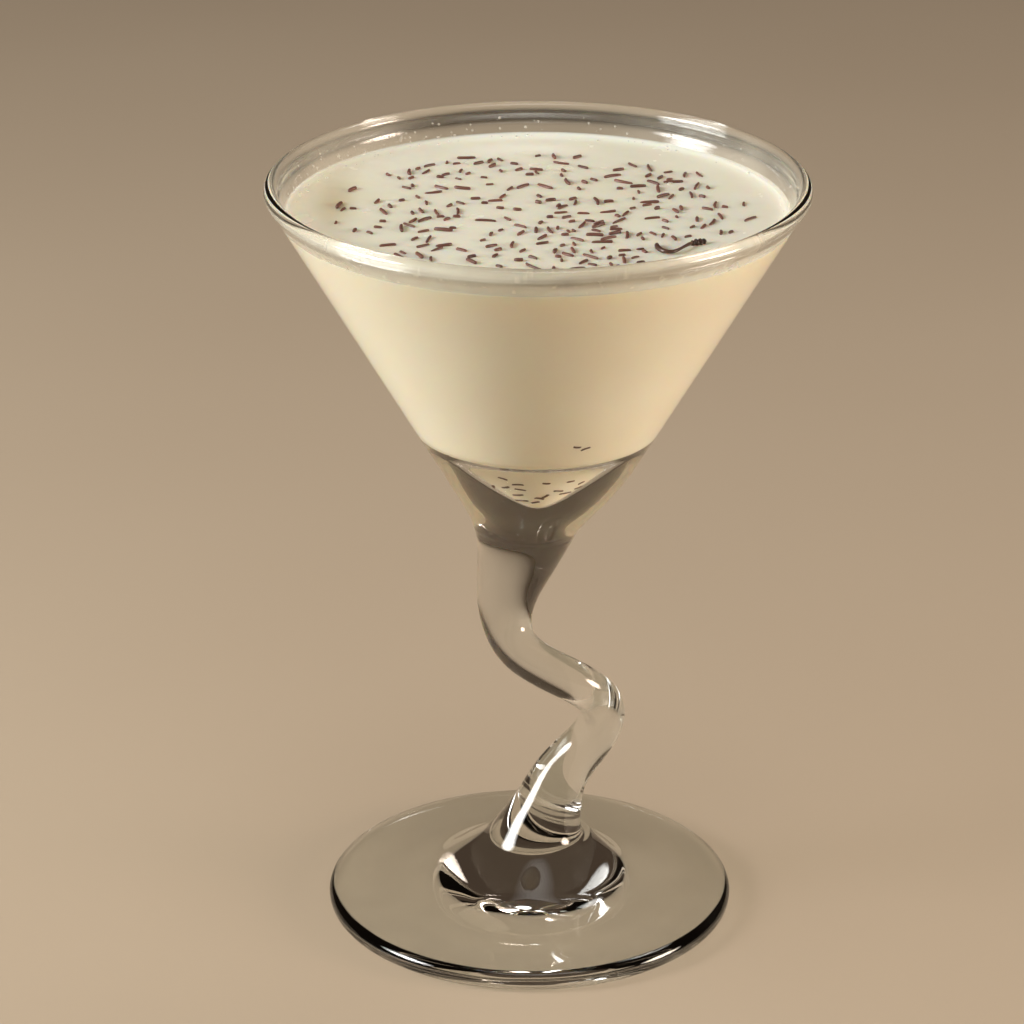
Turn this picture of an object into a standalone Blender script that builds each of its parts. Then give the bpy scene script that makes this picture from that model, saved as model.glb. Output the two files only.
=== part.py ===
"""Cream cocktail with chocolate sprinkles, in its stemmed glass.

The glass is one solid: a round foot, a corkscrew stem that is thick at both
ends, and a V-shaped bowl with a rounded lip and a thick bottom.  It is lofted
as one skin of rings, from the hollow under the foot, up the outside, over the
lip and down to the pit inside the bowl.  The drink is a second solid up to
its level, with the sprinkles and a curled chocolate shaving fused to its top.

Units are metres, +Z is up, +X is to the right and -Y is the front.  The
origin is on the bowl's axis at the height that the foot stands on.
"""
from math import cos, hypot, pi, radians, sin, tan

import bmesh
import bpy
import numpy as np
from mathutils import Matrix, Vector

MM = 0.001
UP = Vector((0.0, 0.0, 1.0))
SIDES = 40

# Bowl
HEIGHT = 167.5 * MM
MOUTH_RADIUS = 57.0 * MM
LIP_RADIUS = 1.45 * MM
LIP_PROUD = 0.25 * MM
LIP_STEPS = 6
CONE_RING_SHARES = (0.06, 0.3, 0.6)
CONE_HALF_ANGLE = radians(30.2)
WALL = 1.6 * MM

# Thick bottom of the bowl: a shallow shoulder round a small conical pit
SHOULDER_HEIGHT = 112.2 * MM
SHOULDER_SLOPE = 0.06
PIT_TIP = 102.2 * MM
PIT_HALF_ANGLE = radians(42.0)
PIT_TIP_RADIUS = 2.5 * MM
FILLET = 1.6 * MM
CAVITY_RINGS = tuple(
    radius * MM
    for radius in (46.0, 34.0, 27.0, 25.4, 24.6, 23.6, 21.0, 16.0, 13.0, 11.2, 9.5, 6.5, 3.6, 1.5, 0.5)
)

# Foot
FOOT_OFFSET = -1.5 * MM
FOOT_RADIUS = 44.6 * MM
FOOT_EDGE = 2.25 * MM
STANDING_RADIUS = 33.0 * MM
HOLLOW = 1.5 * MM
HOLLOW_SHARES = (0.15, 0.5, 0.8, 1.0)

# Path of the foot's boss and the corkscrew stem, from the foot up to the
# bowl: height, reach to the right, reach to the back and radius, in mm
STEM_STATIONS = (
    (5.2, -1.5, 0.0, 37.0),
    (6.4, -1.5, 0.0, 27.0),
    (7.4, -1.5, 0.0, 21.5),
    (10.0, -1.0, 0.0, 18.5),
    (14.5, 0.0, 0.0, 12.5),
    (18.0, 1.2, 0.0, 9.0),
    (23.5, 3.0, 1.0, 7.2),
    (30.0, 5.5, 3.0, 5.8),
    (36.5, 12.0, 3.5, 5.0),
    (45.0, 15.5, 0.5, 5.0),
    (52.5, 12.5, -4.5, 4.6),
    (57.5, 4.5, -6.5, 4.6),
    (60.5, -2.5, -4.5, 4.6),
    (64.5, -6.5, -1.5, 4.9),
    (72.0, -7.0, 1.0, 6.4),
    (80.0, -5.0, 1.0, 8.2),
    (87.5, -2.8, 0.5, 10.2),
    (93.0, -1.3, 0.2, 13.2),
    (99.0, -0.3, 0.0, 17.8),
    (105.0, 0.0, 0.0, 21.4),
)
STEPS_PER_STATION = 2
LEVEL_RING_RADIUS = 12.0 * MM
SQUARE_RING_RADIUS = 8.0 * MM

# Drink
DRINK_LEVEL = 160.6 * MM
GAP = 0.3 * MM
TOP_RING_SPACE = 4.0 * MM

# Sprinkles: rods of chocolate scattered over an oval field, thicker in one place
SPRINKLE_COUNT = 235
FIELD_REACH = (45.5 * MM, 39.0 * MM)
CLUSTER_PLACE = (12.0 * MM, -19.0 * MM)
CLUSTER_SPREAD = 11.0 * MM
CLUSTER_SHARE = 0.28
SPRINKLE_LENGTH = (1.5 * MM, 4.6 * MM)
SPRINKLE_RADIUS = (0.29 * MM, 0.42 * MM)
SPRINKLE_SPACE = 0.2 * MM
SPRINKLE_SIDES = 5
SHORTER_BIAS = 1.6
POINTS_PER_SPRINKLE = 7
FLOAT_SHARE = 0.15
SEED = 11

# Curled chocolate shaving: a hooked thread of (right, back, radius) in mm,
# ending in a ridged crumb
SHAVING_THREAD = (
    (24.0, -21.4, 0.45),
    (24.0, -24.4, 0.6),
    (25.2, -27.2, 0.45),
    (27.6, -27.0, 0.35),
    (29.4, -24.2, 0.3),
    (31.2, -21.6, 0.4),
)
CRUMB_START = (30.8 * MM, -21.4 * MM)
CRUMB_END = (34.2 * MM, -19.8 * MM)
CRUMB_RADIUS = 0.85 * MM
CRUMB_RIDGES = 4
GROOVE_SHARE = 0.72
SHAVING_SIDES = 6


def make_material(name, colour, roughness, transmission=0.0, ior=1.45):
    """A Principled material with the part's own colour and finish."""
    material = bpy.data.materials.new(name)
    material.use_nodes = True
    shader = material.node_tree.nodes["Principled BSDF"]
    shader.inputs["Base Color"].default_value = (*colour, 1.0)
    shader.inputs["Roughness"].default_value = roughness
    shader.inputs["Transmission Weight"].default_value = transmission
    shader.inputs["IOR"].default_value = ior
    return material


def add_object(name, bm, material=None):
    """Turn a closed bmesh into a named, smooth-shaded object."""
    bmesh.ops.recalc_face_normals(bm, faces=bm.faces)
    mesh = bpy.data.meshes.new(name)
    bm.to_mesh(mesh)
    bm.free()
    if material:
        mesh.materials.append(material)
    mesh.shade_smooth()
    mesh.set_sharp_from_angle(angle=radians(40.0))
    thing = bpy.data.objects.new(name, mesh)
    bpy.context.scene.collection.objects.link(thing)
    return thing


def add_ring(bm, centre, axis, radius, sides=SIDES):
    """One ring of edges: a circle round centre, square to axis."""
    place = Matrix.Translation(centre) @ UP.rotation_difference(axis).to_matrix().to_4x4()
    made = bmesh.ops.create_circle(bm, segments=sides, radius=radius, matrix=place)
    return list({edge for vert in made["verts"] for edge in vert.link_edges})


def loft(bm, stations, sides=SIDES):
    """Skin through rings (centre, axis, radius), with both ends filled flat."""
    rings = [add_ring(bm, centre, axis, radius, sides) for centre, axis, radius in stations]
    for lower, upper in zip(rings, rings[1:]):
        bmesh.ops.bridge_loops(bm, edges=lower + upper)
    bmesh.ops.holes_fill(bm, edges=rings[0] + rings[-1])


def level_station(radius, height, offset=0.0):
    """A level ring on the axis, or beside it by offset."""
    return Vector((offset, 0.0, height)), UP, radius


def soft_min(a, b, width):
    """The lower of a and b, blended over width where they meet."""
    overlap = max(width - abs(a - b), 0.0) / width
    return min(a, b) - overlap * overlap * width / 4.0


def cone_radius(height):
    """Radius of the bowl's outer cone at a height."""
    lip_height = HEIGHT - LIP_RADIUS
    lip_centre = MOUTH_RADIUS - LIP_RADIUS
    at_lip = lip_centre + (LIP_RADIUS - LIP_PROUD) / cos(CONE_HALF_ANGLE)
    return at_lip - (lip_height - height) * tan(CONE_HALF_ANGLE)


def cavity_height(radius, inset=0.0):
    """Height of the bowl's inner surface at a radius: pit, shoulder, then cone.

    The pit is a cone with a rounded tip, capped softly by the nearly level
    shoulder; the cone wall lies a wall's thickness inside the outer cone.
    An inset gives the surface that lies that far from it all over.
    """
    tip_round = hypot(radius, PIT_TIP_RADIUS) - PIT_TIP_RADIUS
    pit = PIT_TIP + inset / sin(PIT_HALF_ANGLE) + tip_round / tan(PIT_HALF_ANGLE)
    shoulder = SHOULDER_HEIGHT + inset + SHOULDER_SLOPE * radius
    floor = soft_min(pit, shoulder, FILLET)
    outer = radius + (WALL + inset) / cos(CONE_HALF_ANGLE)
    apex = HEIGHT - LIP_RADIUS - cone_radius(HEIGHT - LIP_RADIUS) / tan(CONE_HALF_ANGLE)
    cone = apex + outer / tan(CONE_HALF_ANGLE)
    return -soft_min(-floor, -cone, FILLET)


def foot_profile():
    """Rings of the foot from the hollow under it to the top of its round edge."""
    stations = []
    for share in HOLLOW_SHARES:
        height = HOLLOW * (1.0 - share * share)
        stations.append(level_station(STANDING_RADIUS * share, height, FOOT_OFFSET))
    centre = FOOT_RADIUS - FOOT_EDGE
    for angle in np.radians(np.arange(-90.0, 91.0, 30.0)):
        radius = centre + FOOT_EDGE * cos(angle)
        height = FOOT_EDGE + FOOT_EDGE * sin(angle)
        stations.append(level_station(radius, height, FOOT_OFFSET))
    return stations


def spline(rows, steps):
    """Points on the uniform cubic B-spline over rows, from its first to its last.

    Each point is the weighted mean of four rows in turn, with the weights of
    the cubic basis, so the path bends smoothly and its curvature never jumps.
    """
    rows = np.array(rows)
    rows = np.vstack([2 * rows[0] - rows[1], rows, 2 * rows[-1] - rows[-2]])
    t = (np.arange(steps) / steps)[:, None]
    weights = ((1 - t) ** 3, 3 * t**3 - 6 * t**2 + 4, -3 * t**3 + 3 * t**2 + 3 * t + 1, t**3)
    spans = [
        sum(weight * rows[i + k] for k, weight in enumerate(weights)) / 6.0
        for i in range(len(rows) - 3)
    ]
    return np.vstack(spans + [rows[-2][None]])


def stem_profile():
    """Rings of the foot's top, the boss, the stem and the bowl's solid bottom.

    Thin rings stand square to the path and wide rings lie level, with a
    smooth change between them.
    """
    path = spline(STEM_STATIONS, STEPS_PER_STATION) * MM
    height, right, back, radius = path.T
    centres = np.column_stack([right, back, height])
    along = np.gradient(centres, axis=0)
    along /= np.linalg.norm(along, axis=1)[:, None]
    reach = (LEVEL_RING_RADIUS - radius) / (LEVEL_RING_RADIUS - SQUARE_RING_RADIUS)
    square = np.clip(reach, 0.0, 1.0)
    square = (square * square * (3 - 2 * square))[:, None]
    axes = square * along + (1 - square) * np.array(UP)
    return [(Vector(c), Vector(a).normalized(), r) for c, a, r in zip(centres, axes, radius)]


def bowl_profile():
    """Rings up the outer cone, round the lip and down the inner cone to the pit."""
    stations = []
    for share in CONE_RING_SHARES:
        height = STEM_STATIONS[-1][0] * MM * (1 - share) + HEIGHT * share
        stations.append(level_station(cone_radius(height), height))
    normal = -CONE_HALF_ANGLE
    centre_radius = MOUTH_RADIUS - LIP_RADIUS
    centre_height = HEIGHT - LIP_RADIUS
    outer_reach = LIP_RADIUS - LIP_PROUD
    inner_reach = outer_reach - WALL
    start = normal - np.arccos(outer_reach / LIP_RADIUS)
    end = normal + 2 * pi - np.arccos(inner_reach / LIP_RADIUS)
    top = pi / 2
    rise, fall = np.linspace(start, top, LIP_STEPS), np.linspace(top, end, LIP_STEPS)
    for angle in np.append(rise, fall[1:]):
        radius = centre_radius + LIP_RADIUS * cos(angle)
        height = centre_height + LIP_RADIUS * sin(angle)
        stations.append(level_station(radius, height))
    for radius in CAVITY_RINGS:
        stations.append(level_station(radius, cavity_height(radius)))
    return stations


def make_glass():
    """Foot, stem and bowl as one closed skin of rings."""
    bm = bmesh.new()
    loft(bm, foot_profile() + stem_profile() + bowl_profile())
    clear = make_material("Clear glass", (0.95, 0.97, 0.96), 0.02, transmission=1.0, ior=1.5)
    return add_object("glass", bm, clear)


def make_drink():
    """The drink: the cavity's shape a gap further in, cut level at the top."""
    top = cone_radius(DRINK_LEVEL) - (WALL + GAP) / cos(CONE_HALF_ANGLE)
    radii = sorted(CAVITY_RINGS)
    radii = [radius for radius in radii if radius < top - TOP_RING_SPACE] + [top]
    stations = [level_station(radius, cavity_height(radius, GAP)) for radius in radii]
    stations[-1] = level_station(top, DRINK_LEVEL)
    bm = bmesh.new()
    loft(bm, stations)
    cream = make_material("Cream drink", (0.86, 0.81, 0.66), 0.3)
    return add_object("drink", bm, cream)


def draw_sprinkles():
    """Midpoint, heading, length and radius of each sprinkle, from a seeded draw.

    Most fall anywhere in the oval field and the rest round the cluster's
    place.  A draw that leaves the field, or comes too near a sprinkle or the
    shaving that already lies there, is dropped.
    """
    rng = np.random.default_rng(SEED)
    field = np.array(FIELD_REACH)
    shares = np.linspace(-0.5, 0.5, POINTS_PER_SPRINKLE)[:, None]
    taken = np.array(SHAVING_THREAD)[:, :2] * MM
    taken = np.vstack([taken, CRUMB_START, CRUMB_END])
    keep_off = np.full(len(taken), 2.0 * CRUMB_RADIUS)
    sprinkles = []
    while len(sprinkles) < SPRINKLE_COUNT:
        angle, reach, heading, length_share, thickness = rng.random(5)
        middle = field * np.sqrt(reach) * [cos(2 * pi * angle), sin(2 * pi * angle)]
        scatter = rng.normal(size=2)
        if rng.random() < CLUSTER_SHARE:
            middle = np.array(CLUSTER_PLACE) + CLUSTER_SPREAD * scatter
        heading = pi * heading
        shortest, longest = SPRINKLE_LENGTH
        length = shortest + (longest - shortest) * length_share**SHORTER_BIAS
        thinnest, thickest = SPRINKLE_RADIUS
        radius = thinnest + (thickest - thinnest) * thickness
        along = middle + shares * length * np.array([cos(heading), sin(heading)])
        inside = np.linalg.norm(along / field, axis=1).max() < 1.0
        apart = np.linalg.norm(along[:, None] - taken[None], axis=2) - keep_off[None] - radius
        if inside and apart.min() > SPRINKLE_SPACE:
            sprinkles.append((middle, heading, length, radius))
            taken = np.vstack([taken, along])
            keep_off = np.append(keep_off, np.full(len(along), radius))
    return sprinkles


def make_sprinkle(number, middle, heading, length, radius):
    """One blunt rod, half sunk in the drink."""
    along = Vector((cos(heading), sin(heading), 0.0))
    centre = Vector((*middle, DRINK_LEVEL + FLOAT_SHARE * radius))
    reach = along * length / 2.0
    bm = bmesh.new()
    loft(bm, [(centre - reach, along, radius), (centre + reach, along, radius)], SPRINKLE_SIDES)
    return add_object(f"sprinkle_{number:03d}", bm)


def make_shaving():
    """The hooked thread of chocolate and the ridged crumb at its end."""
    right, back, radius = spline(SHAVING_THREAD, 2).T * MM
    centres = np.column_stack([right, back, DRINK_LEVEL + FLOAT_SHARE * radius])
    along = np.gradient(centres, axis=0)
    bm = bmesh.new()
    loft(
        bm,
        [(Vector(c), Vector(a).normalized(), r) for c, a, r in zip(centres, along, radius)],
        SHAVING_SIDES,
    )
    thread = add_object("shaving_thread", bm)
    start = Vector((*CRUMB_START, DRINK_LEVEL + FLOAT_SHARE * CRUMB_RADIUS))
    end = Vector((*CRUMB_END, DRINK_LEVEL + FLOAT_SHARE * CRUMB_RADIUS))
    stations = []
    for step in range(2 * CRUMB_RIDGES + 1):
        share = step / (2 * CRUMB_RIDGES)
        ridge = 1.0 if step % 2 else GROOVE_SHARE
        taper = 0.75 + 0.25 * sin(pi * share)
        stations.append((start.lerp(end, share), end - start, CRUMB_RADIUS * ridge * taper))
    bm = bmesh.new()
    loft(bm, stations, SHAVING_SIDES)
    return [thread, add_object("shaving_crumb", bm)]


def fuse(target, pieces):
    """Join pieces to the target with one Boolean union, and remove them."""
    group = bpy.data.collections.new("Toppings")
    bpy.context.scene.collection.children.link(group)
    for piece in pieces:
        bpy.context.scene.collection.objects.unlink(piece)
        group.objects.link(piece)
    union = target.modifiers.new("Union", "BOOLEAN")
    union.operation = "UNION"
    union.solver = "EXACT"
    union.operand_type = "COLLECTION"
    union.collection = group
    evaluated = target.evaluated_get(bpy.context.evaluated_depsgraph_get())
    joined = bpy.data.meshes.new_from_object(evaluated)
    target.modifiers.clear()
    target.data = joined
    for piece in pieces:
        bpy.data.objects.remove(piece)
    bpy.data.collections.remove(group)


def main():
    for thing in list(bpy.data.objects):
        bpy.data.objects.remove(thing)
    make_glass()
    drink = make_drink()
    toppings = [make_sprinkle(number, *found) for number, found in enumerate(draw_sprinkles())]
    fuse(drink, toppings + make_shaving())


main()
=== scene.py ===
"""A cream cocktail strewn with chocolate sprinkles, in a corkscrew-stemmed glass.

Metres, +Z up, +X to the right, -Y to the front, the origin on the bowl's axis
at the height that the foot stands on.
"""
from math import cos, pi, radians, sin, tan

import bpy
import numpy as np
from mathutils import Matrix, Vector


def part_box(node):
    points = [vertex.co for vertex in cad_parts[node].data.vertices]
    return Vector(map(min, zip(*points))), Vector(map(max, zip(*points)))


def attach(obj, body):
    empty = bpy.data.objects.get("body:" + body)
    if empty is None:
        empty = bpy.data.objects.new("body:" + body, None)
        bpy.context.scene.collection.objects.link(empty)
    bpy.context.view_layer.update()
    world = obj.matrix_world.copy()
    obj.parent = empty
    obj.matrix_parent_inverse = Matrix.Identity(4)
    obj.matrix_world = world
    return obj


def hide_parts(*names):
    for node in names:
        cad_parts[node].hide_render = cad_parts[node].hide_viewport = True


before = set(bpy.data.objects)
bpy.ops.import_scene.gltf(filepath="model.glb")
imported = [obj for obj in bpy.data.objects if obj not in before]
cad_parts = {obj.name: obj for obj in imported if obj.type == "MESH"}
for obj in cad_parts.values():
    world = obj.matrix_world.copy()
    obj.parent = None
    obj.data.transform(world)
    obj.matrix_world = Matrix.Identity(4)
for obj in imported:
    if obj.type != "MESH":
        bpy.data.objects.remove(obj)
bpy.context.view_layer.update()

MM = 0.001

# The view: a long lens in front of the glass and a little above its rim,
# turned down so that the whole glass stands in a square picture.
camera = bpy.data.objects.new("camera", bpy.data.cameras.new("camera"))
camera.location = (-0.0054, -0.8034, 0.4315)
camera.rotation_euler = (radians(90.0 - 22.86), 0.0, 0.0)
camera.data.lens = 142.8
camera.data.sensor_width = 36.0
camera.data.clip_start = 0.01
bpy.context.scene.collection.objects.link(camera)
bpy.context.scene.camera = camera


# The glass: clear soda-lime glass, blown as a V-shaped bowl with a
# fire-polished lip, then drawn out hot at its foot end and wound once into a
# corkscrew, and pressed on to a round foot with a thick round edge.
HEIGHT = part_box("glass")[1].z
MOUTH_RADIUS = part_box("glass")[1].x
LIP_RADIUS = 1.45 * MM
LIP_PROUD = 0.25 * MM
CONE_HALF_ANGLE = radians(30.2)
WALL = 1.6 * MM
LIP_HEIGHT = HEIGHT - LIP_RADIUS
LIP_REACH = MOUTH_RADIUS - LIP_RADIUS

SHOULDER_HEIGHT = 112.2 * MM
SHOULDER_SLOPE = 0.06
PIT_TIP = 102.2 * MM
PIT_HALF_ANGLE = radians(42.0)
PIT_TIP_RADIUS = 2.5 * MM
FILLET = 1.6 * MM

FOOT_OFFSET = -1.5 * MM
FOOT_RADIUS = 44.6 * MM
FOOT_EDGE = 2.25 * MM
STANDING_RADIUS = 33.0 * MM
HOLLOW = 1.5 * MM

# The path of the boss and the stem: height, right, back and radius, in mm
STEM_STATIONS = (
    (5.2, -1.5, 0.0, 37.0),
    (6.4, -1.5, 0.0, 27.0),
    (7.4, -1.5, 0.0, 21.5),
    (10.0, -1.0, 0.0, 18.5),
    (14.5, 0.0, 0.0, 12.5),
    (18.0, 1.2, 0.0, 9.0),
    (23.5, 3.0, 1.0, 7.2),
    (30.0, 5.5, 3.0, 5.8),
    (36.5, 12.0, 3.5, 5.0),
    (45.0, 15.5, 0.5, 5.0),
    (52.5, 12.5, -4.5, 4.6),
    (57.5, 4.5, -6.5, 4.6),
    (60.5, -2.5, -4.5, 4.6),
    (64.5, -6.5, -1.5, 4.9),
    (72.0, -7.0, 1.0, 6.4),
    (80.0, -5.0, 1.0, 8.2),
    (87.5, -2.8, 0.5, 10.2),
    (93.0, -1.3, 0.2, 13.2),
    (99.0, -0.3, 0.0, 17.8),
    (105.0, 0.0, 0.0, 21.4),
)
GLASS_SIDES = 224
LEVEL_RING_RADIUS = 12.0 * MM
SQUARE_RING_RADIUS = 8.0 * MM


def soft_min(a, b, width):
    """The lower of a and b, less a parabola's rounding where they come within width."""
    overlap = np.maximum(width - np.abs(a - b), 0.0) / width
    return np.minimum(a, b) - overlap * overlap * width / 4.0


def cone_radius(height):
    """Outer radius of the bowl: a straight line at the cone's angle, from the lip down."""
    at_lip = LIP_REACH + (LIP_RADIUS - LIP_PROUD) / cos(CONE_HALF_ANGLE)
    return at_lip - (LIP_HEIGHT - height) * tan(CONE_HALF_ANGLE)


def cavity_height(radius, inset=0.0):
    """Height of the bowl's inner surface over a radius.

    The pit is a cone with a hyperbola's tip, cut off softly by the nearly
    level shoulder, and both give way softly to the cone wall, which lies a
    wall's thickness inside the outer cone.  The inset moves it all inwards.
    """
    tip_round = np.hypot(radius, PIT_TIP_RADIUS) - PIT_TIP_RADIUS
    pit = PIT_TIP + inset / sin(PIT_HALF_ANGLE) + tip_round / tan(PIT_HALF_ANGLE)
    shoulder = SHOULDER_HEIGHT + inset + SHOULDER_SLOPE * radius
    floor = soft_min(pit, shoulder, FILLET)
    outer = radius + (WALL + inset) / cos(CONE_HALF_ANGLE)
    apex = LIP_HEIGHT - cone_radius(LIP_HEIGHT) / tan(CONE_HALF_ANGLE)
    return -soft_min(-floor, -(apex + outer / tan(CONE_HALF_ANGLE)), FILLET)


def spline(rows, steps):
    """Points on the uniform cubic B-spline over rows, steps to a span.

    Each point is the mean of four rows in turn, weighted by the cubic basis;
    a mirrored row at either end makes the line begin and end on a row.
    """
    rows = np.array(rows)
    rows = np.vstack([2 * rows[0] - rows[1], rows, 2 * rows[-1] - rows[-2]])
    t = (np.arange(steps) / steps)[:, None, None]
    basis = [(1 - t) ** 3, 3 * t**3 - 6 * t**2 + 4, -3 * t**3 + 3 * t**2 + 3 * t + 1, t**3]
    spans = len(rows) - 3
    points = sum(w * rows[None, k:k + spans] for k, w in enumerate(basis)) / 6.0
    return np.vstack([points.transpose(1, 0, 2).reshape(-1, rows.shape[1]), rows[-2]])


def rings(centres, axes, radii, sides):
    """Circles of points round centres, square to axes: an array (rings, sides, 3).

    Each circle's two arms are the X and Y directions turned by the shortest
    turn that brings +Z on to its axis, so that neighbours never twist.
    """
    axes = axes / np.linalg.norm(axes, axis=1)[:, None]
    ax, ay, az = axes.T
    arm_x = np.stack([1 - ax * ax / (1 + az), -ax * ay / (1 + az), -ax], axis=1)
    arm_y = np.stack([-ax * ay / (1 + az), 1 - ay * ay / (1 + az), -ay], axis=1)
    turn = np.linspace(0.0, 2 * pi, sides, endpoint=False)
    circle = np.cos(turn)[None, :, None] * arm_x[:, None] + np.sin(turn)[None, :, None] * arm_y[:, None]
    return centres[:, None] + np.asarray(radii)[:, None, None] * circle


def skin(ring_count, sides):
    """Faces of a skin through rings of points, closed by a fan to a pole at each end.

    The points are the rings in turn, then the first pole, then the last.
    """
    grid = np.arange(ring_count * sides).reshape(ring_count, sides)
    beside = np.roll(grid, -1, axis=1)
    quads = np.stack([grid[:-1], beside[:-1], beside[1:], grid[1:]], axis=-1).reshape(-1, 4)
    first = np.full(sides, ring_count * sides)
    fans = [
        np.stack([first, beside[0], grid[0]], axis=-1),
        np.stack([first + 1, grid[-1], beside[-1]], axis=-1),
    ]
    return quads, np.vstack(fans)


def add_piece(name, points, quads, triangles, materials, sharp=None):
    """A named, smooth-shaded mesh object at the origin, riding on the glass."""
    mesh = bpy.data.meshes.new(name)
    mesh.from_pydata(points.reshape(-1, 3).tolist(), [], quads.tolist() + triangles.tolist())
    for material in materials:
        mesh.materials.append(material)
    mesh.shade_smooth()
    if sharp:
        mesh.set_sharp_from_angle(angle=sharp)
    piece = bpy.data.objects.new(name, mesh)
    bpy.context.scene.collection.objects.link(piece)
    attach(piece, "root")
    return piece


def foot_profile():
    """Radius and height of the foot: a shallow parabola under it, then the half-circle edge."""
    share = np.linspace(0.0, 1.0, 13)[1:]
    angle = np.radians(np.linspace(-90.0, 90.0, 25))
    radius = np.append(STANDING_RADIUS * share, FOOT_RADIUS - FOOT_EDGE + FOOT_EDGE * np.cos(angle))
    height = np.append(HOLLOW * (1 - share**2), FOOT_EDGE + FOOT_EDGE * np.sin(angle))
    return radius, height


def bowl_profile():
    """Radius and height of the bowl: up the cone, round the lip, down the wall to the pit."""
    stem_top = STEM_STATIONS[-1][0] * MM
    height = np.linspace(stem_top, LIP_HEIGHT, 18)[1:-1]
    start = -CONE_HALF_ANGLE - np.arccos((LIP_RADIUS - LIP_PROUD) / LIP_RADIUS)
    end = 2 * pi - CONE_HALF_ANGLE - np.arccos((LIP_RADIUS - LIP_PROUD - WALL) / LIP_RADIUS)
    angle = np.append(np.linspace(start, pi / 2, 14), np.linspace(pi / 2, end, 14)[1:])
    stretches = ((53.0, 29.0, 14), (28.5, 22.5, 25), (22.0, 12.0, 9), (11.6, 8.0, 19), (7.6, 0.3, 16))
    inner = np.concatenate([np.linspace(a, b, n) for a, b, n in stretches]) * MM
    radius = [cone_radius(height), LIP_REACH + LIP_RADIUS * np.cos(angle), inner]
    height = [height, LIP_HEIGHT + LIP_RADIUS * np.sin(angle), cavity_height(inner)]
    return np.concatenate(radius), np.concatenate(height)


def glass_rings():
    """All rings of the glass in order, from the hollow underneath to the pit.

    The stem's thin rings stand square to its path and the wide ones lie
    level, with a smooth change between them.
    """
    foot_radius, foot_height = foot_profile()
    bowl_radius, bowl_height = bowl_profile()
    height, right, back, radius = spline(STEM_STATIONS, 11).T * MM
    path = np.column_stack([right, back, height])
    along = np.gradient(path, axis=0)
    along /= np.linalg.norm(along, axis=1)[:, None]
    reach = (LEVEL_RING_RADIUS - radius) / (LEVEL_RING_RADIUS - SQUARE_RING_RADIUS)
    square = np.clip(reach, 0.0, 1.0)
    square = (square * square * (3 - 2 * square))[:, None]
    up = np.array([0.0, 0.0, 1.0])
    foot = np.column_stack([np.full_like(foot_radius, FOOT_OFFSET), 0 * foot_radius, foot_height])
    bowl = np.column_stack([0 * bowl_radius, 0 * bowl_radius, bowl_height])
    centres = np.vstack([foot, path, bowl])
    axes = np.vstack([0 * foot + up, square * along + (1 - square) * up, 0 * bowl + up])
    radii = np.concatenate([foot_radius, radius, bowl_radius])
    return rings(centres, axes, radii, GLASS_SIDES)


def new_material(name):
    """A material with its node tree, and the tree's nodes, links and Principled shader."""
    material = bpy.data.materials.new(name)
    material.use_nodes = True
    nodes, links = material.node_tree.nodes, material.node_tree.links
    return material, nodes, links, nodes["Principled BSDF"]


def noise(nodes, links, scale, detail=3.0, stretch=None):
    """A noise texture on Object coordinates; stretch scales the pattern along X, Y and Z."""
    place = nodes.new("ShaderNodeTexCoord").outputs["Object"]
    if stretch:
        mapping = nodes.new("ShaderNodeMapping")
        mapping.inputs["Scale"].default_value = stretch
        links.new(place, mapping.inputs["Vector"])
        place = mapping.outputs["Vector"]
    texture = nodes.new("ShaderNodeTexNoise")
    texture.inputs["Scale"].default_value = scale
    texture.inputs["Detail"].default_value = detail
    links.new(place, texture.inputs["Vector"])
    return texture.outputs["Fac"]


def span(nodes, links, value, low, high, to_low=0.0, to_high=1.0):
    """A value mapped from low..high to to_low..to_high, and held to that range."""
    node = nodes.new("ShaderNodeMapRange")
    for name, number in zip(("From Min", "From Max", "To Min", "To Max"), (low, high, to_low, to_high)):
        node.inputs[name].default_value = number
    links.new(value, node.inputs["Value"])
    return node.outputs["Result"]


def blend(nodes, links, factor, first, second):
    """Two colours mixed by a factor; either may be a colour or another node's output."""
    node = nodes.new("ShaderNodeMix")
    node.data_type = "RGBA"
    links.new(factor, node.inputs["Factor"])
    for socket, colour in ((node.inputs["A"], first), (node.inputs["B"], second)):
        if isinstance(colour, tuple):
            socket.default_value = (*colour, 1.0)
        else:
            links.new(colour, socket)
    return node.outputs["Result"]


def bump(nodes, links, height, distance, strength=1.0):
    """A bump of so many metres from a height output."""
    node = nodes.new("ShaderNodeBump")
    node.inputs["Strength"].default_value = strength
    node.inputs["Distance"].default_value = distance
    links.new(height, node.inputs["Height"])
    return node.outputs["Normal"]


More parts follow.
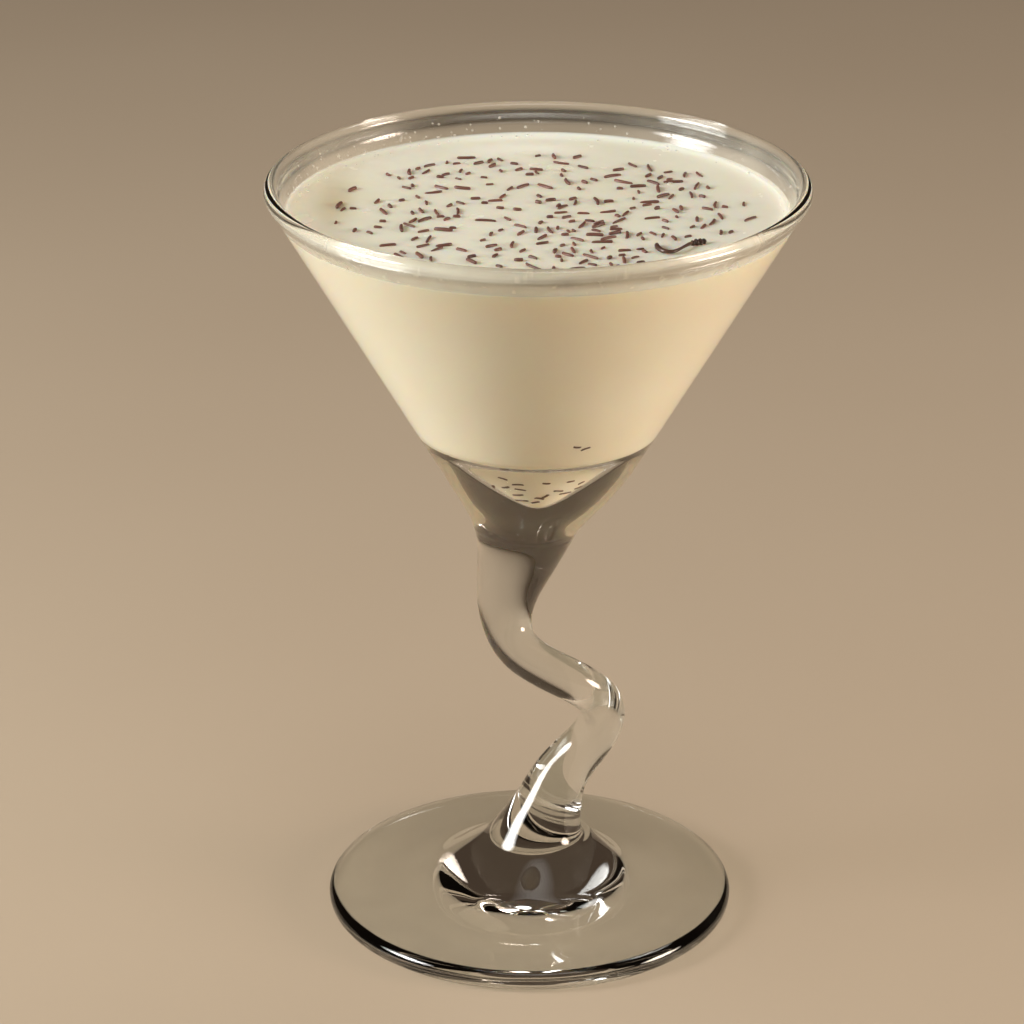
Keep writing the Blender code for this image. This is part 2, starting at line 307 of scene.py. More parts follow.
def clear_glass():
    """Clear glass with the slow waves of hot working and a few dull smears.

    Lamps shine through it, less so where it is met edge on, which gives its
    shadow the dark outlines of real glass.
    """
    material, nodes, links, shader = new_material("Clear soda-lime glass")
    shader.inputs["Base Color"].default_value = (0.975, 0.99, 0.975, 1.0)
    shader.inputs["Transmission Weight"].default_value = 1.0
    shader.inputs["IOR"].default_value = 1.5
    smears = noise(nodes, links, 38.0, 4.0, stretch=(1.0, 1.0, 0.35))
    links.new(span(nodes, links, smears, 0.56, 0.78, 0.0, 0.05), shader.inputs["Roughness"])
    waves = noise(nodes, links, 55.0, 1.0)
    links.new(bump(nodes, links, waves, 0.00025), shader.inputs["Normal"])
    edge = nodes.new("ShaderNodeLayerWeight")
    edge.inputs["Blend"].default_value = 0.15
    through = nodes.new("ShaderNodeBsdfTransparent")
    shade = blend(nodes, links, edge.outputs["Facing"], (0.985, 0.99, 0.98), (0.3, 0.32, 0.3))
    links.new(shade, through.inputs["Color"])
    path = nodes.new("ShaderNodeLightPath")
    either = nodes.new("ShaderNodeMath")
    either.operation = "MAXIMUM"
    links.new(path.outputs["Is Shadow Ray"], either.inputs[0])
    links.new(path.outputs["Is Diffuse Ray"], either.inputs[1])
    mix = nodes.new("ShaderNodeMixShader")
    links.new(either.outputs["Value"], mix.inputs["Fac"])
    links.new(shader.outputs["BSDF"], mix.inputs[1])
    links.new(through.outputs["BSDF"], mix.inputs[2])
    links.new(mix.outputs["Shader"], nodes["Material Output"].inputs["Surface"])
    return material


glass_points = glass_rings()
glass_poles = [[FOOT_OFFSET, 0.0, HOLLOW], [0.0, 0.0, float(cavity_height(0.0))]]
glass = add_piece(
    "corkscrew_glass",
    np.vstack([glass_points.reshape(-1, 3), glass_poles]),
    *skin(len(glass_points), GLASS_SIDES),
    [clear_glass()],
)
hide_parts("glass")


# The drink: cream liqueur shaken with cream, opaque and a little thick, poured
# to near the lip.  It wets the glass, so its side reaches just into the wall
# and its surface climbs a little where it meets it.
DRINK_LEVEL = 160.6 * MM
DRINK_REACH = 0.5 * MM
DRINK_SIDES = 256
WALL_AT_LEVEL = cone_radius(DRINK_LEVEL) - WALL / cos(CONE_HALF_ANGLE)
CLIMB = 0.7 * MM
CLIMB_LENGTH = 1.1 * MM
# Middle of the tan patch of painted shade by the left wall.
WALL_SHADE_PLACE = (-42.5 * MM, 6.0 * MM)


def surface_height(radius):
    """The drink's top: level, and rising as an exponential towards the wall."""
    to_wall = np.maximum(WALL_AT_LEVEL - radius, 0.0)
    return DRINK_LEVEL + CLIMB * np.exp(-to_wall / CLIMB_LENGTH)


def drink_profile():
    """Radius and height of the drink, up its side and in along its top.

    Also how many of those rings belong to the side.
    """
    top_radius = cone_radius(DRINK_LEVEL + CLIMB) - (WALL - DRINK_REACH) / cos(CONE_HALF_ANGLE)
    stretches = ((0.3, 8.0, 14), (8.4, 12.0, 14), (13.0, 22.0, 8), (22.6, 29.0, 22), (31.0, 51.0, 10))
    side = np.concatenate([np.linspace(a, b, n) for a, b, n in stretches]) * MM
    side = np.append(side, top_radius)
    edge = WALL_AT_LEVEL - np.array([0.0, 0.3, 0.7, 1.2, 1.9, 2.8]) * MM
    top = np.append(edge, np.linspace(edge[-1], 0.4 * MM, 62)[1:])
    height = np.append(cavity_height(side, -DRINK_REACH), surface_height(top))
    height[len(side) - 1] = DRINK_LEVEL + CLIMB
    return np.append(side, top), height, len(side)


def turned(radius, height, sides):
    """Level rings on the bowl's axis through a profile, with a pole at each end."""
    centres = np.column_stack([0 * radius, 0 * radius, height])
    axes = np.tile([0.0, 0.0, 1.0], (len(radius), 1))
    poles = [[0.0, 0.0, height[0]], [0.0, 0.0, height[-1]]]
    return np.vstack([rings(centres, axes, radius, sides).reshape(-1, 3), poles])


def attribute(nodes, name):
    """The value of a piece's own attribute."""
    node = nodes.new("ShaderNodeAttribute")
    node.attribute_name = name
    return node.outputs["Fac"]


def set_attribute(piece, name, values):
    """Give a piece a value for each of its points."""
    layer = piece.data.attributes.new(name, "FLOAT", "POINT")
    layer.data.foreach_set("value", values.astype(np.float32))


def cream(shader):
    """The scattering of cream: light goes in and comes out a few millimetres off, warmer."""
    shader.inputs["Subsurface Weight"].default_value = 0.55
    shader.inputs["Subsurface Radius"].default_value = (1.0, 0.62, 0.34)
    shader.inputs["Subsurface Scale"].default_value = 0.004


def cream_in_air():
    """The drink's surface: wet cream with faint marbling, whiter along the wall.

    Chocolate bleeds a little into it between the sprinkles, and a tan patch of
    painted shade, standing for the left wall's shadow, lies along the wall at the left.
    """
    material, nodes, links, shader = new_material("Cream liqueur, open surface")
    cream(shader)
    shader.inputs["IOR"].default_value = 1.36
    marble = span(nodes, links, noise(nodes, links, 34.0, 2.5), 0.36, 0.66)
    colour = blend(nodes, links, marble, (0.88, 0.85, 0.68), (0.91, 0.89, 0.75))
    colour = blend(nodes, links, attribute(nodes, "wall_side"), colour, (0.92, 0.9, 0.77))
    # Painted shade: a tan patch along the left wall, where the wall's shadow falls.
    colour = blend(nodes, links, attribute(nodes, "painted_wall_shade"), colour, (0.6, 0.45, 0.2))
    colour = blend(nodes, links, attribute(nodes, "chocolate_bleed"), colour, (0.5, 0.4, 0.3))
    links.new(colour, shader.inputs["Base Color"])
    gloss = span(nodes, links, noise(nodes, links, 120.0, 3.0), 0.3, 0.7, 0.16, 0.28)
    links.new(gloss, shader.inputs["Roughness"])
    links.new(bump(nodes, links, noise(nodes, links, 160.0, 2.0), 0.00006), shader.inputs["Normal"])
    return material


def cream_under_glass():
    """The drink's side, which wets the wall: matt cream where it is looked at steeply.

    Light in the glass meets a thinner medium there, so past the critical
    angle it is mirrored back.  The ratio of the indices gives that share.
    """
    material, nodes, links, shader = new_material("Cream liqueur against glass")
    cream(shader)
    shader.inputs["Specular IOR Level"].default_value = 0.0
    shader.inputs["Roughness"].default_value = 0.6
    marble = span(nodes, links, noise(nodes, links, 26.0, 3.0), 0.35, 0.68)
    colour = blend(nodes, links, marble, (0.87, 0.81, 0.64), (0.9, 0.86, 0.71))
    links.new(colour, shader.inputs["Base Color"])
    share = nodes.new("ShaderNodeFresnel")
    share.inputs["IOR"].default_value = 1.38 / 1.5
    mirror = nodes.new("ShaderNodeBsdfGlossy")
    mirror.inputs["Roughness"].default_value = 0.0
    mix = nodes.new("ShaderNodeMixShader")
    links.new(share.outputs["Fac"], mix.inputs["Fac"])
    links.new(shader.outputs["BSDF"], mix.inputs[1])
    links.new(mirror.outputs["BSDF"], mix.inputs[2])
    links.new(mix.outputs["Shader"], nodes["Material Output"].inputs["Surface"])
    return material


drink_radius, drink_height, side_rings = drink_profile()
drink_points = turned(drink_radius, drink_height, DRINK_SIDES)
drink = add_piece(
    "cream_drink",
    drink_points,
    *skin(len(drink_radius), DRINK_SIDES),
    [cream_under_glass(), cream_in_air()],
    sharp=radians(40.0),
)
faces = np.arange(len(drink.data.polygons))
quad_count = (len(drink_radius) - 1) * DRINK_SIDES
on_top_quads = (faces >= (side_rings - 1) * DRINK_SIDES) & (faces < quad_count)
on_top = on_top_quads | (faces >= quad_count + DRINK_SIDES)
drink.data.polygons.foreach_set("material_index", on_top.astype(np.int32))
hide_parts("drink")


# The sprinkles: short rods of dull dark chocolate, cut to uneven lengths and
# strewn by hand over the surface, where they float half sunk.
SPRINKLE_COUNT = 235
FIELD_REACH = (45.5 * MM, 39.0 * MM)
CLUSTER_PLACE = (12.0 * MM, -19.0 * MM)
CLUSTER_SPREAD = 11.0 * MM
CLUSTER_SHARE = 0.28
SPRINKLE_LENGTH = (1.5 * MM, 4.6 * MM)
SPRINKLE_RADIUS = (0.29 * MM, 0.42 * MM)
SPRINKLE_SPACE = 0.2 * MM
SHORTER_BIAS = 1.6
POINTS_PER_SPRINKLE = 7
FLOAT_SHARE = 0.15
SEED = 11
SHAVING_THREAD = (
    (24.0, -21.4, 0.45),
    (24.0, -24.4, 0.6),
    (25.2, -27.2, 0.45),
    (27.6, -27.0, 0.35),
    (29.4, -24.2, 0.3),
    (31.2, -21.6, 0.4),
)
CRUMB_START = (30.8 * MM, -21.4 * MM)
CRUMB_END = (34.2 * MM, -19.8 * MM)
CRUMB_RADIUS = 0.85 * MM


def draw_sprinkles():
    """Middle, heading, length and radius of each sprinkle, from a seeded draw.

    Most fall anywhere in the oval field and the rest round the cluster's
    place.  A draw that leaves the field, or comes too near a sprinkle or the
    shaving that already lies there, is dropped.
    """
    rng = np.random.default_rng(SEED)
    field = np.array(FIELD_REACH)
    shares = np.linspace(-0.5, 0.5, POINTS_PER_SPRINKLE)[:, None]
    taken = np.array(SHAVING_THREAD)[:, :2] * MM
    taken = np.vstack([taken, CRUMB_START, CRUMB_END])
    keep_off = np.full(len(taken), 2.0 * CRUMB_RADIUS)
    sprinkles = []
    while len(sprinkles) < SPRINKLE_COUNT:
        angle, reach, heading, length_share, thickness = rng.random(5)
        middle = field * np.sqrt(reach) * [cos(2 * pi * angle), sin(2 * pi * angle)]
        scatter = rng.normal(size=2)
        if rng.random() < CLUSTER_SHARE:
            middle = np.array(CLUSTER_PLACE) + CLUSTER_SPREAD * scatter
        heading = pi * heading
        shortest, longest = SPRINKLE_LENGTH
        length = shortest + (longest - shortest) * length_share**SHORTER_BIAS
        thinnest, thickest = SPRINKLE_RADIUS
        radius = thinnest + (thickest - thinnest) * thickness
        along = middle + shares * length * np.array([cos(heading), sin(heading)])
        inside = np.linalg.norm(along / field, axis=1).max() < 1.0
        apart = np.linalg.norm(along[:, None] - taken[None], axis=2) - keep_off[None] - radius
        if inside and apart.min() > SPRINKLE_SPACE:
            sprinkles.append((*middle, heading, length, radius))
            taken = np.vstack([taken, along])
            keep_off = np.append(keep_off, np.full(len(along), radius))
    return np.array(sprinkles)


def repeated(quads, fans, copies, step):
    """The faces of one closed bit, once for each copy, counted on by its number of points."""
    ahead = (np.arange(copies) * step)[:, None, None]
    return (quads[None] + ahead).reshape(-1, 4), (fans[None] + ahead).reshape(-1, 3)


def rods(middles, along, across, lengths, radii, uneven):
    """Joined rods with round, uneven ends: their points, quads and triangles.

    Each rod is rings of points carried along its own axis.  The rings' radii
    follow a blunt half-ellipse at either end, times that rod's own uneven
    factors, and its middle line bows sideways as a parabola.
    """
    place = np.array([-1.0, -0.9, -0.55, 0.0, 0.55, 0.9, 1.0])
    width = np.array([0.5, 0.86, 1.0, 1.03, 1.0, 0.86, 0.5])
    sides = 7
    turn = np.linspace(0.0, 2 * pi, sides, endpoint=False)
    third = np.cross(along, across)
    reach = (lengths[:, None] / 2 - 0.25 * radii[:, None]) * place[None]
    bow = (uneven[:, :1] - 1.0) * lengths[:, None] * (place[None] ** 2 - 0.4)
    centres = middles[:, None] + along[:, None] * reach[..., None] + across[:, None] * bow[..., None]
    ring = np.cos(turn)[None, :, None] * across[:, None] + np.sin(turn)[None, :, None] * third[:, None]
    size = radii[:, None] * width[None] * uneven
    walls = centres[:, :, None] + size[..., None, None] * ring[:, None]
    tips = [middles - along * lengths[:, None] / 2, middles + along * lengths[:, None] / 2]
    tips = [tip + across * bow[:, :1] for tip in tips]
    points = np.concatenate([walls.reshape(len(middles), -1, 3), np.stack(tips, axis=1)], axis=1)
    return points, *repeated(*skin(len(place), sides), *points.shape[:2])


def chocolate(name, dull, warm):
    """Chocolate, each bit of its own tone between dull and warm, with a fine grain."""
    material, nodes, links, shader = new_material(name)
    fleck = span(nodes, links, noise(nodes, links, 900.0, 3.0), 0.35, 0.7)
    colour = blend(nodes, links, attribute(nodes, "tone"), dull, warm)
    colour = blend(nodes, links, fleck, colour, tuple(0.72 * part for part in warm))
    links.new(colour, shader.inputs["Base Color"])
    links.new(span(nodes, links, fleck, 0.0, 1.0, 0.34, 0.55), shader.inputs["Roughness"])
    links.new(bump(nodes, links, noise(nodes, links, 1500.0, 2.0), 0.00006), shader.inputs["Normal"])
    return material


sprinkles = draw_sprinkles()
rng = np.random.default_rng(SEED + 1)
count = len(sprinkles)
x, y, heading, length, radius = sprinkles.T
tip_up = radians(3.0) * rng.normal(size=count)
flat = np.column_stack([np.cos(heading), np.sin(heading)])
along = np.column_stack([flat * np.cos(tip_up)[:, None], np.sin(tip_up)])
across = np.column_stack([-np.sin(heading), np.cos(heading), 0 * heading])
height = DRINK_LEVEL + radius * rng.uniform(0.15, 0.65, count)
uneven = rng.uniform(0.92, 1.06, (count, POINTS_PER_SPRINKLE))
tone = np.clip(rng.normal(0.5, 0.28, count), 0.0, 1.0)
rod_points, rod_quads, rod_triangles = rods(
    np.column_stack([x, y, height]), along, across, length, radius, uneven
)
sprinkle_piece = add_piece(
    "chocolate_sprinkles",
    rod_points,
    rod_quads,
    rod_triangles,
    [chocolate("Sprinkle chocolate", (0.08, 0.034, 0.024), (0.2, 0.08, 0.055))],
)
set_attribute(sprinkle_piece, "tone", np.repeat(tone, rod_points.shape[1]))


def near_sprinkles(points, reach):
    """How much chocolate lies round each point: a bell curve of the distance to each rod, summed."""
    ends = flat * length[:, None] / 2
    start = np.column_stack([x, y]) - ends
    offset = points[:, None] - start[None]
    share = np.clip((offset * ends[None]).sum(-1) / (2 * (ends**2).sum(-1))[None], 0.0, 1.0)
    gap = np.linalg.norm(offset - 2 * share[..., None] * ends[None], axis=-1)
    return np.exp(-((gap / reach) ** 2)).sum(axis=1)


distance = np.hypot(drink_points[:, 0], drink_points[:, 1])
# Painted shade: a tan patch by the left wall, narrow across it and long along it.
wall_shade_gap = (drink_points[:, :2] - WALL_SHADE_PLACE) / (4.2 * MM, 15.0 * MM)
set_attribute(drink, "wall_side", np.exp(-(((WALL_AT_LEVEL - distance) / (2.6 * MM)) ** 2)))
set_attribute(drink, "painted_wall_shade", 0.55 * np.exp(-(wall_shade_gap**2).sum(axis=1)))
set_attribute(drink, "chocolate_bleed", np.clip(0.12 * near_sprinkles(drink_points[:, :2], 1.3 * MM), 0, 0.3))


# The chocolate shaving: one curl planed off a bar, a thin ribbon that hooks
# over at its left end and runs as a thread to a dark ridged crumb, lying on top.
THREAD_RISE = np.array([0.3, 0.65, 0.7, 0.6, 0.75, 0.7]) * MM
CRUMB_RIDGES = 4
CRUMB_GROOVE = 0.34


def shaving_thread():
    """Rings along the curl: the thread's rows as a B-spline, lifted off the surface in the middle."""
    rows = np.array(SHAVING_THREAD) * MM
    rows = np.column_stack([rows[:, :2], DRINK_LEVEL + THREAD_RISE, rows[:, 2]])
    path = spline(rows, 9)
    along = np.gradient(path[:, :3], axis=0)
    blunt = 1.0 - 0.45 * np.exp(-np.minimum(np.arange(len(path)), np.arange(len(path))[::-1]))
    points = rings(path[:, :3], along, path[:, 3] * blunt, 10)
    return np.vstack([points.reshape(-1, 3), path[0, :3], path[-1, :3]]), len(path)


def shaving_crumb():
    """Rings along the crumb: a blunt ellipse's radius, cut in by a cosine to so many ridges."""
    share = np.linspace(-0.985, 0.985, 33)
    start, end = np.array(CRUMB_START), np.array(CRUMB_END)
    centre = (start + end) / 2 + (end - start) * share[:, None] / 2
    centre = np.column_stack([centre, DRINK_LEVEL + 0.4 * MM + 0 * share])
    groove = 0.5 - 0.5 * np.cos(pi * CRUMB_RIDGES * (share + 1.0))
    radius = CRUMB_RADIUS * (1.0 - share**2) ** 0.35 * (1.0 - CRUMB_GROOVE * (1.0 - groove))
    heading = np.append(end - start, 0.0)
    points = rings(centre, np.tile(heading, (len(share), 1)), radius, 12)
    ragged = np.random.default_rng(SEED + 2).uniform(0.86, 1.1, points.shape[:2])[..., None]
    points = centre[:, None] + (points - centre[:, None]) * ragged
    return np.vstack([points.reshape(-1, 3), centre[0], centre[-1]]), len(share)


thread_points, thread_rings = shaving_thread()
crumb_points, crumb_rings = shaving_crumb()
thread_quads, thread_fans = skin(thread_rings, 10)
crumb_quads, crumb_fans = skin(crumb_rings, 12)
shaving = add_piece(
    "chocolate_shaving",
    np.vstack([thread_points, crumb_points]),
    np.vstack([thread_quads, crumb_quads + len(thread_points)]),
    np.vstack([thread_fans, crumb_fans + len(thread_points)]),
    [chocolate("Shaving chocolate", (0.03, 0.014, 0.009), (0.085, 0.036, 0.022))],
)
tone = np.concatenate([np.full(len(thread_points), 0.9), np.full(len(crumb_points), 0.15)])
set_attribute(shaving, "tone", tone)


# The sunk sprinkles: some sank to the bottom and stuck to the side, where the
# cream half covers them and they show through the glass, paler than on top.
# Right and back of the axis in mm, heading from level in degrees, length in mm
SUNK_SPRINKLES = (
    (9.6, -26.3, 20.0, 2.3),
    (7.9, -27.3, -12.0, 1.9),
    (-18.1, -16.3, 40.0, 1.5),
    (-3.2, -7.6, 5.0, 2.2),
    (-2.7, -6.3, -15.0, 2.0),
    (-2.9, -4.4, 10.0, 2.1),
    (-2.3, -2.8, 0.0, 2.4),
    (1.2, -4.9, 65.0, 1.8),
    (0.3, -4.4, -20.0, 1.7),
    (-0.3, -3.2, 30.0, 1.6),
    (4.1, -3.9, 15.0, 2.3),
    (3.2, -5.6, -8.0, 1.9),
    (6.0, -3.4, 40.0, 1.7),
    (6.6, -4.8, 55.0, 1.5),
    (-5.5, -7.9, -30.0, 1.8),
    (-4.8, -5.4, 24.0, 1.9),
    (-6.3, -3.1, 50.0, 1.6),
    (5.2, -7.2, 12.0, 1.6),
    (1.4, -8.6, -5.0, 1.5),
)
SUNK_RADIUS = 0.36 * MM
SUNK_DEPTH = 0.14 * MM

right, back, level_turn, sunk_length = np.array(SUNK_SPRINKLES).T
distance = np.hypot(right, back) * MM
outward = np.column_stack([right, back]) / np.hypot(right, back)[:, None]
rise = (cavity_height(distance + 0.05 * MM) - cavity_height(distance - 0.05 * MM)) / (0.1 * MM)
uphill = np.column_stack([outward, rise]) / np.hypot(1.0, rise)[:, None]
level = np.column_stack([-outward[:, 1], outward[:, 0], 0 * right])
inward = np.cross(level, uphill)
inward *= np.sign(inward[:, 2])[:, None]
level_turn = np.radians(level_turn)[:, None]
sunk_middles = np.column_stack([outward * distance[:, None], cavity_height(distance, -DRINK_REACH)])
sunk_points, sunk_quads, sunk_triangles = rods(
    sunk_middles + inward * SUNK_DEPTH,
    np.cos(level_turn) * level + np.sin(level_turn) * uphill,
    np.cos(level_turn) * uphill - np.sin(level_turn) * level,
    sunk_length * MM,
    np.full(len(right), SUNK_RADIUS),
    rng.uniform(0.9, 1.08, (len(right), POINTS_PER_SPRINKLE)),
)
sunk_piece = add_piece(
    "sunk_sprinkles",
    sunk_points,
    sunk_quads,
    sunk_triangles,
    [chocolate("Soaked sprinkle chocolate", (0.07, 0.035, 0.02), (0.2, 0.11, 0.06))],
)
tone = np.append([0.0, 0.1, 0.5], rng.uniform(0.2, 0.9, len(right) - 3))
set_attribute(sunk_piece, "tone", np.repeat(tone, sunk_points.shape[1]))


# The milky film: cream that ran back down the wall when the glass was carried,
# a hundredth of a millimetre thick in life, heavier at the back left and back right.
# Its heaviest part, at the front of the lip, is painted light: a milky layer that
# stands for the bright cream seen refracted through the lip.
FILM_IN_GLASS = 0.05 * MM
FILM_IN_AIR = 0.04 * MM
FILM_SIDES = 192


def film_skin():
    """The film's points and faces: the inner wall and lip moved a little out, then a little in.

    The way up one side and down the other makes one closed loop of rings.
    """
    end = 2 * pi - CONE_HALF_ANGLE - np.arccos((LIP_RADIUS - LIP_PROUD - WALL) / LIP_RADIUS)
    turn = np.linspace(radians(112.0), end - 0.12, 12)
    out_of_glass = np.column_stack([np.cos(turn), np.sin(turn)])
    lip = np.array([LIP_REACH, LIP_HEIGHT]) + LIP_RADIUS * out_of_glass
    low = DRINK_LEVEL + 0.2 * MM
    height = np.linspace(LIP_HEIGHT - 1.9 * MM, low, 9)
    wall = np.column_stack([cone_radius(height) - WALL / cos(CONE_HALF_ANGLE), height])
    off_wall = np.tile([-cos(CONE_HALF_ANGLE), sin(CONE_HALF_ANGLE)], (len(wall), 1))
    path, normal = np.vstack([lip, wall]), np.vstack([out_of_glass, off_wall])
    loop = np.vstack([path - FILM_IN_GLASS * normal, (path + FILM_IN_AIR * normal)[::-1]])
    centres = np.column_stack([0 * loop, loop[:, 1]])
    points = rings(centres, np.tile([0.0, 0.0, 1.0], (len(loop), 1)), loop[:, 0], FILM_SIDES)
    grid = np.arange(len(loop) * FILM_SIDES).reshape(len(loop), FILM_SIDES)
    above, beside = np.roll(grid, -1, axis=0), np.roll(grid, -1, axis=1)
    quads = np.stack([grid, above, np.roll(above, -1, axis=1), beside], axis=-1).reshape(-1, 4)
    return points.reshape(-1, 3), quads


def milky_film():
    """Streaky cream that covers only part of the glass: noise times its cover, and small clots where it
    covers.
    """
    material, nodes, links, shader = new_material("Thin milky film")
    shader.inputs["Base Color"].default_value = (0.88, 0.83, 0.7, 1.0)
    shader.inputs["Roughness"].default_value = 0.45
    streaks = span(nodes, links, noise(nodes, links, 75.0, 2.0), 0.3, 0.7, 0.55, 1.0)
    clots = span(nodes, links, noise(nodes, links, 480.0, 2.0), 0.62, 0.74, 0.0, 0.3)
    cover = nodes.new("ShaderNodeMath")
    cover.operation = "MULTIPLY"
    links.new(streaks, cover.inputs[0])
    links.new(attribute(nodes, "cover"), cover.inputs[1])
    dabs = nodes.new("ShaderNodeMath")
    dabs.operation = "MULTIPLY_ADD"
    dabs.use_clamp = True
    links.new(clots, dabs.inputs[0])
    links.new(attribute(nodes, "cover"), dabs.inputs[1])
    links.new(cover.outputs["Value"], dabs.inputs[2])
    links.new(dabs.outputs["Value"], shader.inputs["Alpha"])
    return material


film_points, film_quads = film_skin()
film = add_piece("milky_film", film_points, film_quads, np.zeros((0, 3), int), [milky_film()])
bearing = np.arctan2(film_points[:, 0], -film_points[:, 1])
front = np.exp(-((bearing / radians(62.0)) ** 2))
beside_left = np.exp(-(((bearing + radians(128.0)) / radians(20.0)) ** 2))
beside_right = np.exp(-(((bearing - radians(120.0)) / radians(30.0)) ** 2))
to_lip = np.clip((film_points[:, 2] - DRINK_LEVEL) / (HEIGHT - DRINK_LEVEL), 0.0, 1.0)
# The front term is painted light, standing for the cream seen refracted through the lip; the side terms are
# the real film.
cover = 0.05 + 0.6 * front + (0.22 * beside_left + 0.16 * beside_right) * (1.0 - 0.7 * to_lip)
set_attribute(film, "cover", cover)


# The droplets and bubbles: beads of thinned cream left on the inner wall, and
# froth bubbles along the edge of the drink, each a dome on what it sits on.
# Bearing from the front and spread, in degrees, and how many
DROP_CLUSTERS = (
    (-128.0, 22.0, 60),
    (-158.0, 16.0, 24),
    (172.0, 14.0, 18),
    (120.0, 24.0, 34),
    (-40.0, 30.0, 14),
)
DROP_RADIUS = (0.1 * MM, 0.34 * MM)
BUBBLE_CLUSTERS = ((-118.0, 16.0, 26), (-60.0, 14.0, 12), (150.0, 30.0, 18), (60.0, 26.0, 16))
BUBBLE_RADIUS = (0.12 * MM, 0.36 * MM)
FROTH_PLACE = (28.2 * MM, 19.1 * MM)
FROTH_BUBBLES = 7


def domes(bases, normals, radii, lift):
    """Low domes on a surface: their points, quads and triangles, sunk a little below their bases.

    Each dome's rings follow an ellipse that is lift times as high as wide.
    """
    place = np.array([-0.35, 0.0, 0.45, 0.8])
    width = np.array([0.8, 1.0, 0.893, 0.6])
    sides = 8
    centres = bases[:, None] + normals[:, None] * (radii * lift)[:, None, None] * place[None, :, None]
    axes = np.repeat(normals, len(place), axis=0)
    size = (radii[:, None] * width[None]).reshape(-1)
    walls = rings(centres.reshape(-1, 3), axes, size, sides).reshape(len(bases), -1, 3)
    ends = np.array([-0.5, 1.0])[None, :, None]
    poles = bases[:, None] + normals[:, None] * (radii * lift)[:, None, None] * ends
    points = np.concatenate([walls, poles], axis=1)
    return points, *repeated(*skin(len(place), sides), *points.shape[:2])


def scatter(clusters, sizes, rng):
    """Bearings round the axis and radii, drawn round each cluster's bearing; small ones are commoner."""
    bearings = np.concatenate([rng.normal(middle, spread, many) for middle, spread, many in clusters])
    radii = sizes[0] + (sizes[1] - sizes[0]) * rng.random(len(bearings)) ** 2.2
    return np.radians(bearings), radii


def thin_cream(name, colour, cover):
    """A bead of thinned cream: glossy, and see-through where it is looked at straight on."""
    material, nodes, links, shader = new_material(name)
    shader.inputs["Base Color"].default_value = (*colour, 1.0)
    shader.inputs["Roughness"].default_value = 0.08
    shader.inputs["IOR"].default_value = 1.35
    edge = nodes.new("ShaderNodeLayerWeight")
    edge.inputs["Blend"].default_value = 0.4
    links.new(span(nodes, links, edge.outputs["Facing"], 0.0, 0.8, *cover), shader.inputs["Alpha"])
    return material


drop_bearing, drop_radius = scatter(DROP_CLUSTERS, DROP_RADIUS, rng)
drop_height = DRINK_LEVEL + (0.9 + 3.0 * rng.random(len(drop_radius)) ** 1.3) * MM
wall_radius = cone_radius(drop_height) - WALL / cos(CONE_HALF_ANGLE)
facing = np.column_stack([np.sin(drop_bearing), -np.cos(drop_bearing)])
drop_bases = np.column_stack([facing * wall_radius[:, None], drop_height])
slant = np.column_stack([-facing * cos(CONE_HALF_ANGLE), np.full(len(facing), sin(CONE_HALF_ANGLE))])
drops = add_piece(
    "wall_droplets",
    *domes(drop_bases, slant, drop_radius, 0.55),
    [thin_cream("Thinned cream droplet", (0.86, 0.83, 0.74), (0.3, 0.85))],
)

bubble_bearing, bubble_radius = scatter(BUBBLE_CLUSTERS, BUBBLE_RADIUS, rng)
edge_radius = WALL_AT_LEVEL - (0.5 + 1.7 * rng.random(len(bubble_radius)) ** 2) * MM
facing = np.column_stack([np.sin(bubble_bearing), -np.cos(bubble_bearing)])
bubble_places = facing * edge_radius[:, None]
froth_places = FROTH_PLACE + 0.55 * MM * rng.normal(size=(FROTH_BUBBLES, 2))
bubble_places = np.vstack([bubble_places, froth_places])
bubble_radius = np.append(bubble_radius, rng.uniform(0.15, 0.4, FROTH_BUBBLES) * MM)
bubble_height = surface_height(np.hypot(*bubble_places.T))
bubbles = add_piece(
    "froth_bubbles",
    *domes(
        np.column_stack([bubble_places, bubble_height]),
        np.tile([0.0, 0.0, 1.0], (len(bubble_radius), 1)),
        bubble_radius,
        0.8,
    ),
    [thin_cream("Froth bubble", (0.93, 0.91, 0.82), (0.35, 0.95))],
)


# The studio: a plain pale floor, a broad window-like light from the left, a
# lower and warmer one from the right, and soft light from above and behind.
FLOOR_DROP = 0.0001
FULL_GLOW = 0.7
GLOW_GAIN = 2.75


def add_floor():
    """One large quad just under the foot."""
    mesh = bpy.data.meshes.new("floor")
    corners = [(-4.0, -4.0), (4.0, -4.0), (4.0, 4.0), (-4.0, 4.0)]
    mesh.from_pydata([(cx, cy, -FLOOR_DROP) for cx, cy in corners], [], [(0, 1, 2, 3)])
    material, nodes, links, shader = new_material("Pale studio floor")
    tint = span(nodes, links, noise(nodes, links, 3.0, 2.0), 0.3, 0.7)
    links.new(blend(nodes, links, tint, (0.45, 0.36, 0.26), (0.48, 0.39, 0.285)), shader.inputs["Base Color"])
    shader.inputs["Roughness"].default_value = 0.7
    mesh.materials.append(material)
    floor = bpy.data.objects.new("floor", mesh)
    bpy.context.scene.collection.objects.link(floor)


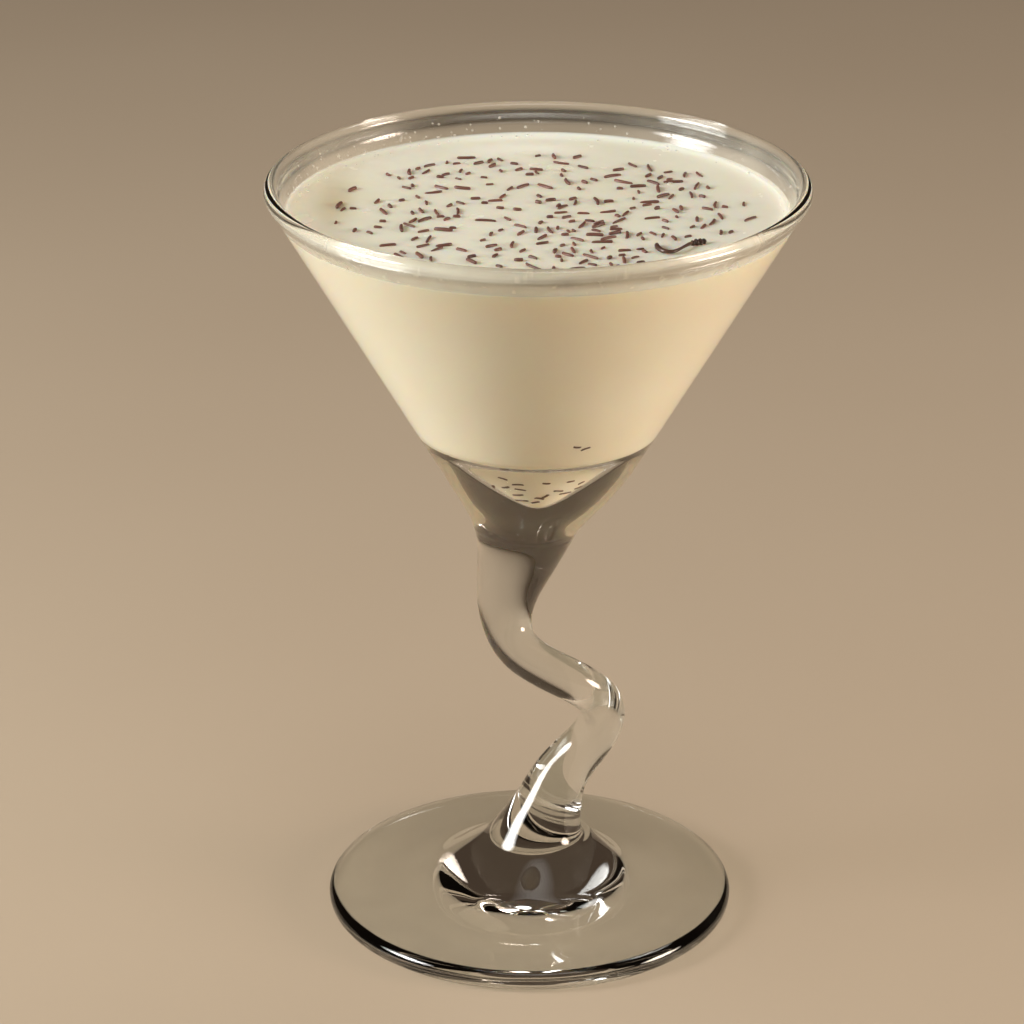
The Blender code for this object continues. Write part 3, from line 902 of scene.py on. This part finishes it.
def add_softbox(name, azimuth, elevation, distance, size, power, colour):
    """A soft-edged light aimed at the bowl, placed by direction: azimuth 0 is the front.

    It is brightest in its middle and falls off to nothing at an ellipse that
    touches its four sides; the gain keeps its power what it is set to.
    """
    turn, rise = radians(azimuth), radians(elevation)
    aim = Vector((0.0, 0.0, 0.12))
    away = Vector((sin(turn) * cos(rise), -cos(turn) * cos(rise), sin(rise)))
    light = bpy.data.lights.new(name, "AREA")
    light.shape = "RECTANGLE"
    light.size, light.size_y = size
    light.energy = power
    light.color = colour
    light.use_nodes = True
    nodes, links = light.node_tree.nodes, light.node_tree.links
    centred = nodes.new("ShaderNodeMapping")
    centred.inputs["Location"].default_value = (-1.0, -1.0, 0.0)
    centred.inputs["Scale"].default_value = (2.0, 2.0, 1.0)
    links.new(nodes.new("ShaderNodeNewGeometry").outputs["Parametric"], centred.inputs["Vector"])
    gradient = nodes.new("ShaderNodeTexGradient")
    gradient.gradient_type = "SPHERICAL"
    links.new(centred.outputs["Vector"], gradient.inputs["Vector"])
    glow = span(nodes, links, gradient.outputs["Fac"], 0.0, FULL_GLOW, 0.0, GLOW_GAIN)
    links.new(glow, nodes["Emission"].inputs["Strength"])
    lamp = bpy.data.objects.new(name, light)
    lamp.location = aim + away * distance
    lamp.rotation_euler = away.to_track_quat("Z", "Y").to_euler()
    lamp.visible_camera = False
    bpy.context.scene.collection.objects.link(lamp)


add_floor()
add_softbox("window_left", -75.0, 24.0, 1.2, (0.75, 0.65), 20.0, (1.0, 0.985, 0.95))
add_softbox("panel_right", 76.0, 11.0, 1.2, (0.6, 0.5), 14.0, (1.0, 0.84, 0.71))
add_softbox("panel_above", 20.0, 82.0, 1.3, (0.9, 0.9), 2.5, (1.0, 0.98, 0.95))
add_softbox("panel_behind", 146.0, 52.0, 1.3, (0.42, 0.3), 1.5, (1.0, 0.97, 0.92))
world = bpy.data.worlds.new("studio")
world.use_nodes = True
world.node_tree.nodes["Background"].inputs["Color"].default_value = (0.4, 0.27, 0.18, 1.0)
world.node_tree.nodes["Background"].inputs["Strength"].default_value = 0.14
bpy.context.scene.world = world
bpy.context.scene.view_settings.view_transform = "Standard"
bpy.context.scene.cycles.max_bounces = 24
bpy.context.scene.cycles.transmission_bounces = 24
bpy.context.scene.cycles.transparent_max_bounces = 24
